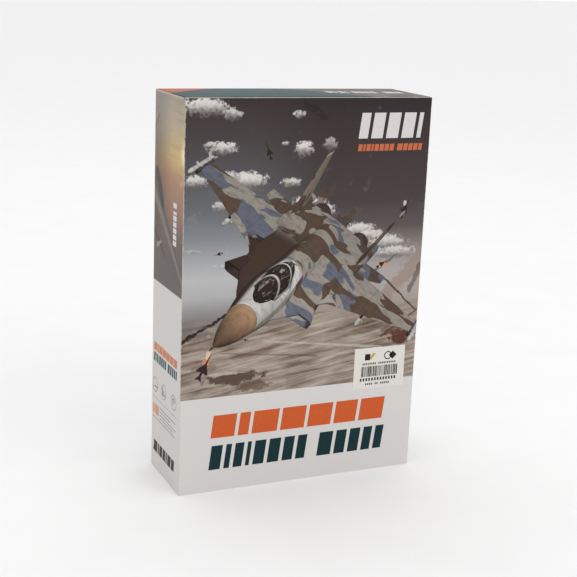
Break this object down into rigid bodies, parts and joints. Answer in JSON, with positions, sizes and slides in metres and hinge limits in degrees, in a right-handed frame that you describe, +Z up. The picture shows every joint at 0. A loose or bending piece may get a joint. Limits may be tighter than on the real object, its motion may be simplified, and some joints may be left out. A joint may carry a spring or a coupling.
{
  "type": "boxed toy airplane",
  "caption": "Upright tuck-top carton with a hinged lid, holding a tray that slides out with a twin-engine, twin-tail die-cast toy jet and a folding stand.",
  "frame": {"origin": "middle of the carton's underside", "axes": "+Z up along the carton's tallest side; the printed front panel faces -Y, through the carton's thinnest side; +X is to the right seen from the front"},
  "size_m": [0.176, 0.0601, 0.266],
  "materials": {
    "printed_board": "satin varnish over full-colour print",
    "plain_board": "uncoated pale grey board",
    "label_paper": "thermal label, slightly glossy",
    "tray_plastic": "thin formed sheet, semi-gloss",
    "clear_plastic": "clear band",
    "camouflage_metal": "satin paint over zinc casting",
    "camouflage_plastic": "satin paint over moulded plastic",
    "grey_plastic": "satin grey",
    "radome_plastic": "satin brown, darker to the tip",
    "bright_steel": "turned",
    "exhaust_metal": "heat-stained gunmetal",
    "canopy_clear": "clear with a slight smoke tint",
    "canopy_frame_paint": "satin",
    "cockpit_plastic": "matt",
    "missile_plastic": "satin white with two dark bands",
    "gear_plastic": "satin",
    "tyre_rubber": "matt",
    "stand_plastic": "gloss black"
  },
  "bodies": {
    "carton": {"front_panel": "printed_board", "back_panel": "printed_board", "left_panel": "printed_board", "right_panel": "printed_board", "glue_flap": "plain_board", "bottom_panel": "plain_board", "bottom_dust_flap_left": "plain_board", "bottom_dust_flap_right": "plain_board", "bottom_tuck_flap": "plain_board", "price_label": "label_paper"},
    "lid": {"lid_panel": "printed_board"},
    "tuck_flap": {"lid_tuck_flap": "plain_board"},
    "dust_flap_left": {"dust_flap_left": "plain_board"},
    "dust_flap_right": {"dust_flap_right": "plain_board"},
    "canopy": {"canopy_frame": "canopy_frame_paint", "canopy_glass": "canopy_clear"},
    "stabilator_left": {"stabilator_left": "camouflage_plastic"},
    "stabilator_right": {"stabilator_right": "camouflage_plastic"},
    "nose_wheel": {"nose_tyre": "tyre_rubber", "nose_hub": "gear_plastic"},
    "main_wheel_left": {"main_tyre_left": "tyre_rubber", "main_hub_left": "gear_plastic"},
    "main_wheel_right": {"main_tyre_right": "tyre_rubber", "main_hub_right": "gear_plastic"},
    "stand_arm": {"stand_arm": "stand_plastic"},
    "tray": {"tray": "tray_plastic", "cockpit_tub": "cockpit_plastic", "fin_left": "camouflage_plastic", "fin_right": "camouflage_plastic", "fuselage_lower": "grey_plastic", "fuselage_screws": "bright_steel", "fuselage_upper": "camouflage_metal", "gear_doors": "grey_plastic", "intake_left": "grey_plastic", "intake_right": "grey_plastic", "jet_strap": "clear_plastic", "main_leg_left": "gear_plastic", "main_leg_right": "gear_plastic", "missile_inner_left": "missile_plastic", "missile_inner_right": "missile_plastic", "missile_tip_left": "missile_plastic", "missile_tip_right": "missile_plastic", "nose_cone": "radome_plastic", "nose_leg": "gear_plastic", "nozzle_left": "exhaust_metal", "nozzle_right": "exhaust_metal", "pitot_probe": "bright_steel", "pylons_left": "grey_plastic", "pylons_right": "grey_plastic", "seat_front": "cockpit_plastic", "seat_rear": "cockpit_plastic", "stand_base": "stand_plastic", "stand_pin": "bright_steel", "wheel_axles": "bright_steel", "windscreen": "canopy_clear", "wing_left": "camouflage_metal", "wing_right": "camouflage_metal"}
  },
  "joints": [
    {"name": "tray_slide", "type": "slide", "parent": "carton", "child": "tray", "axis": [0, 0, 1], "range_m": [0, 0.2]},
    {"name": "lid_hinge", "type": "hinge", "parent": "carton", "child": "lid", "pos_m": [0, 0.03, 0.266], "axis": [-1, 0, 0], "range_deg": [0, 260.01]},
    {"name": "lid_tuck_hinge", "type": "hinge", "parent": "lid", "child": "tuck_flap", "pos_m": [0, -0.0293, 0.2654], "axis": [-1, 0, 0], "range_deg": [0, 26.01]},
    {"name": "dust_flap_left_hinge", "type": "hinge", "parent": "carton", "child": "dust_flap_left", "pos_m": [-0.088, 0, 0.2653], "axis": [0, -1, 0], "range_deg": [0, 130.01]},
    {"name": "dust_flap_right_hinge", "type": "hinge", "parent": "carton", "child": "dust_flap_right", "pos_m": [0.088, 0, 0.2653], "axis": [0, 1, 0], "range_deg": [0, 130.01]},
    {"name": "canopy_hinge", "type": "hinge", "parent": "tray", "child": "canopy", "pos_m": [0, -0.0066, 0.147], "axis": [1, 0, 0], "range_deg": [0, 30]},
    {"name": "stabilator_left_pivot", "type": "hinge", "parent": "tray", "child": "stabilator_left", "pos_m": [-0.028, 0.0036, 0.038], "axis": [1, 0, 0], "range_deg": [-20, 20]},
    {"name": "stabilator_right_pivot", "type": "hinge", "parent": "tray", "child": "stabilator_right", "pos_m": [0.028, 0.0036, 0.038], "axis": [1, 0, 0], "range_deg": [-20, 20]},
    {"name": "nose_wheel_spin", "type": "hinge", "parent": "tray", "child": "nose_wheel", "pos_m": [0, 0.0238, 0.163], "axis": [1, 0, 0], "continuous": true},
    {"name": "main_wheel_left_spin", "type": "hinge", "parent": "tray", "child": "main_wheel_left", "pos_m": [-0.019, 0.0228, 0.088], "axis": [1, 0, 0], "continuous": true},
    {"name": "main_wheel_right_spin", "type": "hinge", "parent": "tray", "child": "main_wheel_right", "pos_m": [0.019, 0.0228, 0.088], "axis": [1, 0, 0], "continuous": true},
    {"name": "stand_arm_hinge", "type": "hinge", "parent": "tray", "child": "stand_arm", "pos_m": [-0.039, 0.0166, 0.159], "axis": [1, 0, 0], "range_deg": [0, 65]}
  ],
  "couplings": [
    {"joint": "lid_hinge", "follows": "tray_slide", "rad_per_m": 22.689},
    {"joint": "lid_tuck_hinge", "follows": "tray_slide", "rad_per_m": 2.2689},
    {"joint": "dust_flap_left_hinge", "follows": "tray_slide", "rad_per_m": 11.345},
    {"joint": "dust_flap_right_hinge", "follows": "tray_slide", "rad_per_m": 11.345}
  ]
}
